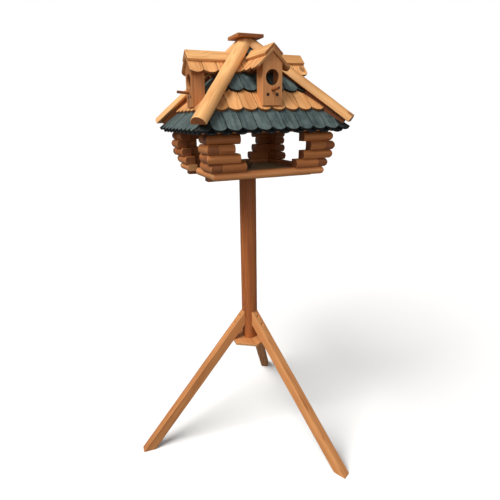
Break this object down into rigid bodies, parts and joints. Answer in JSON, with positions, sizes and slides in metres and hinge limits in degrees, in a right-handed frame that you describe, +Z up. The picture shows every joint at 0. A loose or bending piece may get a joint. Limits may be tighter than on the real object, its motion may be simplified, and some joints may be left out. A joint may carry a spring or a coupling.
{
  "type": "bird feeder on pole",
  "caption": "Square log-cabin bird feeder with a shingled pyramid roof and nest-box dormers, clamped by a wing nut on a round post with splayed legs.",
  "frame": {"origin": "on the ground, on the axis of the post", "axes": "+Z up, the front of the house faces -Y, +X to its right"},
  "size_m": [0.6681, 0.7445, 1.3857],
  "materials": {
    "post_wood": "oiled satin",
    "stand_wood": "oiled satin",
    "zinc_steel": "zinc plated",
    "dark_steel": "dark, dull",
    "floor_wood": "plain, weathered",
    "dark_wood": "dark oiled",
    "rim_wood": "oiled satin",
    "log_wood": "oiled satin",
    "slate_stain": "slate-coloured stain, matt",
    "shingle_wood": "oiled satin",
    "hip_wood": "oiled satin",
    "cap_wood": "oiled satin",
    "board_wood": "plain sawn",
    "dormer_wood": "oiled satin"
  },
  "bodies": {
    "stand": {"post": "post_wood", "leg_right": "stand_wood", "leg_back": "stand_wood", "leg_left": "stand_wood", "brace_plate": "stand_wood", "leg_screws": "zinc_steel", "plate_screws": "zinc_steel", "threaded_rod": "dark_steel"},
    "house": {"washer": "dark_steel", "floor_board": "floor_wood", "floor_battens": "dark_wood", "rim_front": "rim_wood", "rim_right": "rim_wood", "rim_back": "rim_wood", "rim_left": "rim_wood", "stack_front_left": "log_wood", "stack_front_right": "log_wood", "stack_back_right": "log_wood", "stack_back_left": "log_wood", "top_plates": "board_wood", "deck_front": "board_wood", "deck_right": "board_wood", "deck_back": "board_wood", "deck_left": "board_wood", "dark_shingles_front": "slate_stain", "dark_shingles_right": "slate_stain", "dark_shingles_back": "slate_stain", "dark_shingles_left": "slate_stain", "natural_shingles_front": "shingle_wood", "natural_shingles_right": "shingle_wood", "natural_shingles_back": "shingle_wood", "natural_shingles_left": "shingle_wood", "hip_front_left": "hip_wood", "hip_front_right": "hip_wood", "hip_back_right": "hip_wood", "hip_back_left": "hip_wood", "hip_battens": "dark_wood", "roof_cap": "cap_wood", "dormer_face_front": "dormer_wood", "dormer_face_right": "dormer_wood", "dormer_face_back": "dormer_wood", "dormer_face_left": "dormer_wood", "dormer_box_front": "dormer_wood", "dormer_box_right": "dormer_wood", "dormer_box_back": "dormer_wood", "dormer_box_left": "dormer_wood", "dormer_roof_front": "shingle_wood", "dormer_roof_right": "shingle_wood", "dormer_roof_back": "shingle_wood", "dormer_roof_left": "shingle_wood", "dormer_ridge_front": "dormer_wood", "dormer_ridge_right": "dormer_wood", "dormer_ridge_back": "dormer_wood", "dormer_ridge_left": "dormer_wood", "perch_front": "dark_wood", "perch_right": "dark_wood", "perch_back": "dark_wood", "perch_left": "dark_wood", "dormer_screws": "dark_steel"},
    "wing_nut": {"wing_nut": "dark_steel"}
  },
  "joints": [
    {"name": "house_swivel", "type": "hinge", "parent": "stand", "child": "house", "pos_m": [0, 0, 0.991], "axis": [0, 0, 1], "range_deg": [-180, 180]},
    {"name": "wing_nut_turn", "type": "hinge", "parent": "stand", "child": "wing_nut", "pos_m": [0, 0, 1.006], "axis": [0, 0, 1], "range_deg": [0, 720]}
  ]
}
